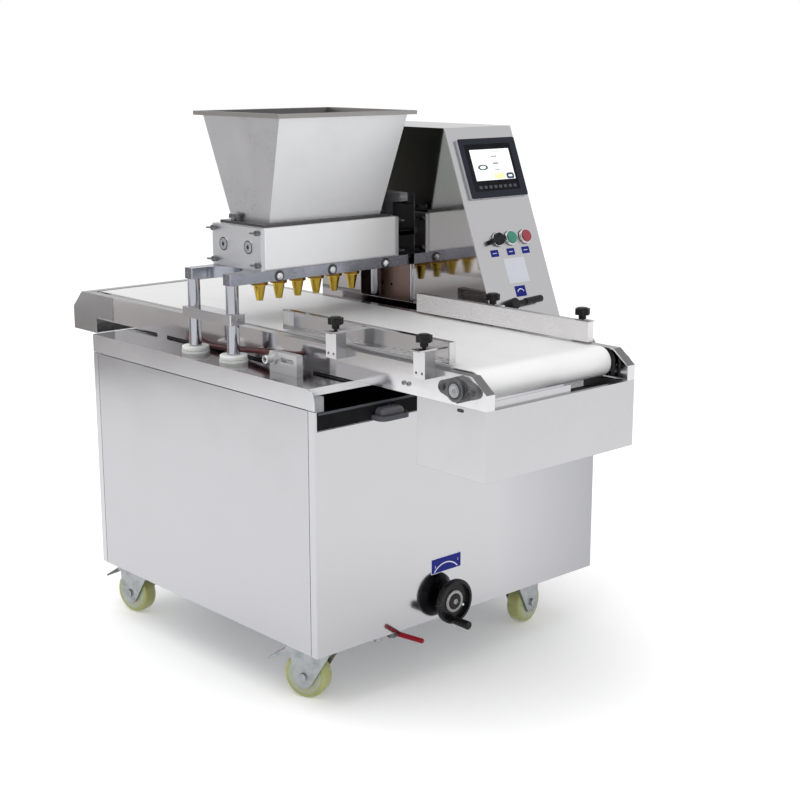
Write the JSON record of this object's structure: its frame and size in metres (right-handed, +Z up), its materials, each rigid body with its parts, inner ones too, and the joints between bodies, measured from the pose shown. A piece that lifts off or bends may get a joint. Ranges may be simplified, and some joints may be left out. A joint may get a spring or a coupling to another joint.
{
  "type": "cookie depositing machine",
  "caption": "Cookie depositing machine on castors: hopper and roller-feed head with nozzles over a belt conveyor, steel cabinet, handwheel lift and sloped control console.",
  "frame": {"origin": "on the floor below the middle of the overall length and width", "axes": "+X along the conveyor to its discharge end, +Y to the control console side, +Z up"},
  "size_m": [1.458, 0.85, 1.213],
  "materials": {
    "satin_steel": "fine brushed stainless sheet",
    "polished_steel": "mirror polished stainless sheet",
    "chrome_post": "ground chromed rod",
    "zinc": "zinc plated pressing",
    "aluminium": "milled and anodised",
    "plain_steel": "milled steel",
    "brass": "turned brass",
    "cast_grey": "painted casting",
    "white_nylon": "turned nylon",
    "belt_white": "food belt, smooth",
    "black_plastic": "moulded, fine grain",
    "black_drawer": "black powder coat with grey grips",
    "wheel_pu": "clear yellow polyurethane tread",
    "motor_paint": "grey motor paint",
    "red_grip": "dipped grip",
    "green_button": "moulded cap",
    "red_button": "moulded cap",
    "panel_grey": "charcoal bezel with pale screen"
  },
  "bodies": {
    "machine": {"side_panel_near": "satin_steel", "side_panel_far": "satin_steel", "front_panel": "satin_steel", "rear_panel": "satin_steel", "console_housing": "satin_steel", "conveyor_plate_near": "satin_steel", "conveyor_plate_far": "satin_steel", "rear_guard": "satin_steel", "discharge_skirt": "satin_steel", "table_top": "polished_steel", "housing_wall": "polished_steel", "guide_blocks": "aluminium", "tray_sensor": "aluminium", "cabinet_frame": "plain_steel", "belt_bed": "plain_steel", "flange_bearings": "cast_grey", "lift_jack": "cast_grey", "post_collars": "white_nylon", "conveyor_belt": "belt_white", "sensor_lead": "black_plastic", "belt_motor": "motor_paint", "touch_panel": "panel_grey"},
    "head": {"head_posts": "chrome_post", "post_tie_bars": "plain_steel", "head_base": "plain_steel", "nozzles": "brass", "feed_block": "aluminium", "end_plates": "satin_steel", "head_fasteners": "satin_steel", "hopper": "satin_steel", "feed_motor": "motor_paint", "lift_yoke": "plain_steel"},
    "handwheel": {"handwheel": "black_plastic"},
    "handwheel_grip": {"handwheel_grip": "black_plastic"},
    "drive_roller": {"drive_roller": "plain_steel"},
    "tail_roller": {"tail_roller": "plain_steel"},
    "feed_roller_rear": {"feed_roller_rear": "plain_steel"},
    "feed_roller_front": {"feed_roller_front": "plain_steel"},
    "guide_rail_near": {"guide_rail_near": "satin_steel"},
    "guide_rail_far": {"guide_rail_far": "satin_steel"},
    "drawer": {"drawer": "black_drawer"},
    "drain_lever": {"drain_lever": "red_grip"},
    "selector_knob": {"selector_knob": "black_plastic"},
    "start_button": {"start_button": "green_button"},
    "stop_button": {"stop_button": "red_button"},
    "console_lever": {"console_lever": "black_plastic"},
    "guide_knob_near_rear": {"guide_knob_near_rear": "black_plastic"},
    "guide_knob_near_front": {"guide_knob_near_front": "black_plastic"},
    "guide_knob_far_rear": {"guide_knob_far_rear": "black_plastic"},
    "guide_knob_far_front": {"guide_knob_far_front": "black_plastic"},
    "castor_fork_near_front": {"castor_fork_near_front": "zinc"},
    "castor_wheel_near_front": {"castor_wheel_near_front": "wheel_pu"},
    "castor_pedal_near_front": {"castor_pedal_near_front": "zinc"},
    "castor_fork_near_rear": {"castor_fork_near_rear": "zinc"},
    "castor_wheel_near_rear": {"castor_wheel_near_rear": "wheel_pu"},
    "castor_pedal_near_rear": {"castor_pedal_near_rear": "zinc"},
    "castor_fork_far_front": {"castor_fork_far_front": "zinc"},
    "castor_wheel_far_front": {"castor_wheel_far_front": "wheel_pu"},
    "castor_fork_far_rear": {"castor_fork_far_rear": "zinc"},
    "castor_wheel_far_rear": {"castor_wheel_far_rear": "wheel_pu"}
  },
  "joints": [
    {"name": "head_lift", "type": "slide", "parent": "machine", "child": "head", "axis": [0, 0, 1], "range_m": [0, 0.04]},
    {"name": "handwheel_turn", "type": "hinge", "parent": "machine", "child": "handwheel", "pos_m": [0.36, -0.065, 0.173], "axis": [1, 0, 0], "range_deg": [0, 1440]},
    {"name": "grip_spin", "type": "hinge", "parent": "handwheel", "child": "handwheel_grip", "pos_m": [0.398, -0.0764, 0.1357], "axis": [1, 0, 0], "continuous": true},
    {"name": "drive_roller_spin", "type": "hinge", "parent": "machine", "child": "drive_roller", "pos_m": [0.661, -0.108, 0.729], "axis": [0, 1, 0], "continuous": true},
    {"name": "tail_roller_spin", "type": "hinge", "parent": "machine", "child": "tail_roller", "pos_m": [-0.641, -0.108, 0.729], "axis": [0, 1, 0], "continuous": true},
    {"name": "feed_roller_rear_spin", "type": "hinge", "parent": "head", "child": "feed_roller_rear", "pos_m": [-0.098, -0.104, 0.929], "axis": [0, 1, 0], "continuous": true},
    {"name": "feed_roller_front_spin", "type": "hinge", "parent": "head", "child": "feed_roller_front", "pos_m": [-0.008, -0.104, 0.929], "axis": [0, 1, 0], "continuous": true},
    {"name": "guide_near_shift", "type": "slide", "parent": "machine", "child": "guide_rail_near", "axis": [0, 1, 0], "range_m": [-0.012, 0.012]},
    {"name": "guide_knob_near_rear_turn", "type": "hinge", "parent": "machine", "child": "guide_knob_near_rear", "pos_m": [0.319, -0.333, 0.792], "axis": [0, 0, 1], "range_deg": [0, 360]},
    {"name": "guide_knob_near_front_turn", "type": "hinge", "parent": "machine", "child": "guide_knob_near_front", "pos_m": [0.577, -0.333, 0.792], "axis": [0, 0, 1], "range_deg": [0, 360]},
    {"name": "guide_far_shift", "type": "slide", "parent": "machine", "child": "guide_rail_far", "axis": [0, 1, 0], "range_m": [-0.012, 0.012]},
    {"name": "guide_knob_far_rear_turn", "type": "hinge", "parent": "machine", "child": "guide_knob_far_rear", "pos_m": [0.319, 0.117, 0.792], "axis": [0, 0, 1], "range_deg": [0, 360]},
    {"name": "guide_knob_far_front_turn", "type": "hinge", "parent": "machine", "child": "guide_knob_far_front", "pos_m": [0.577, 0.117, 0.792], "axis": [0, 0, 1], "range_deg": [0, 360]},
    {"name": "castor_fork_near_front_swivel", "type": "hinge", "parent": "machine", "child": "castor_fork_near_front", "pos_m": [0.27, -0.36, 0.13], "axis": [0, 0, 1], "continuous": true},
    {"name": "castor_wheel_near_front_spin", "type": "hinge", "parent": "castor_fork_near_front", "child": "castor_wheel_near_front", "pos_m": [0.25609, -0.36562, 0.05], "axis": [-0.3746, 0.9272, 0], "continuous": true},
    {"name": "castor_pedal_near_front_press", "type": "hinge", "parent": "castor_fork_near_front", "child": "castor_pedal_near_front", "pos_m": [0.22179, -0.37948, 0.1042], "axis": [0.3746, -0.9272, 0], "range_deg": [0, 14]},
    {"name": "castor_fork_near_rear_swivel", "type": "hinge", "parent": "machine", "child": "castor_fork_near_rear", "pos_m": [-0.404, -0.36, 0.13], "axis": [0, 0, 1], "continuous": true},
    {"name": "castor_wheel_near_rear_spin", "type": "hinge", "parent": "castor_fork_near_rear", "child": "castor_wheel_near_rear", "pos_m": [-0.41877, -0.36261, 0.05], "axis": [-0.1736, 0.9848, 0], "continuous": true},
    {"name": "castor_pedal_near_rear_press", "type": "hinge", "parent": "castor_fork_near_rear", "child": "castor_pedal_near_rear", "pos_m": [-0.45521, -0.36903, 0.1042], "axis": [0.1736, -0.9848, 0], "range_deg": [0, 14]},
    {"name": "castor_fork_far_front_swivel", "type": "hinge", "parent": "machine", "child": "castor_fork_far_front", "pos_m": [0.27, 0.276, 0.13], "axis": [0, 0, 1], "continuous": true},
    {"name": "castor_wheel_far_front_spin", "type": "hinge", "parent": "castor_fork_far_front", "child": "castor_wheel_far_front", "pos_m": [0.26663, 0.29062, 0.05], "axis": [0.9744, 0.225, 0], "continuous": true},
    {"name": "castor_fork_far_rear_swivel", "type": "hinge", "parent": "machine", "child": "castor_fork_far_rear", "pos_m": [-0.404, 0.276, 0.13], "axis": [0, 0, 1], "continuous": true},
    {"name": "castor_wheel_far_rear_spin", "type": "hinge", "parent": "castor_fork_far_rear", "child": "castor_wheel_far_rear", "pos_m": [-0.40737, 0.29062, 0.05], "axis": [0.9744, 0.225, 0], "continuous": true},
    {"name": "drawer_pull", "type": "slide", "parent": "machine", "child": "drawer", "axis": [1, 0, 0], "range_m": [0, 0.12]},
    {"name": "drain_lever_turn", "type": "hinge", "parent": "machine", "child": "drain_lever", "pos_m": [0.337, -0.199, 0.13], "axis": [0, 0, 1], "range_deg": [-50, 50]},
    {"name": "selector_turn", "type": "hinge", "parent": "machine", "child": "selector_knob", "pos_m": [0.23528, 0.215, 0.92543], "axis": [0.9307, 0, 0.3657], "range_deg": [-45, 45]},
    {"name": "start_button_press", "type": "slide", "parent": "machine", "child": "start_button", "axis": [-0.9307, 0, -0.3657], "range_m": [0, 0.004], "stiffness_N_per_m": 500, "springref_m": -0.003},
    {"name": "stop_button_press", "type": "slide", "parent": "machine", "child": "stop_button", "axis": [-0.9307, 0, -0.3657], "range_m": [0, 0.004], "stiffness_N_per_m": 500, "springref_m": -0.003},
    {"name": "console_lever_turn", "type": "hinge", "parent": "machine", "child": "console_lever", "pos_m": [0.29123, 0.2, 0.78302], "axis": [0.9307, 0, 0.3657], "range_deg": [-30, 30]}
  ],
  "couplings": [
    {"joint": "handwheel_turn", "follows": "head_lift", "rad_per_m": 628.32},
    {"joint": "tail_roller_spin", "follows": "drive_roller_spin", "ratio": 1},
    {"joint": "feed_roller_rear_spin", "follows": "feed_roller_front_spin", "ratio": -1}
  ]
}
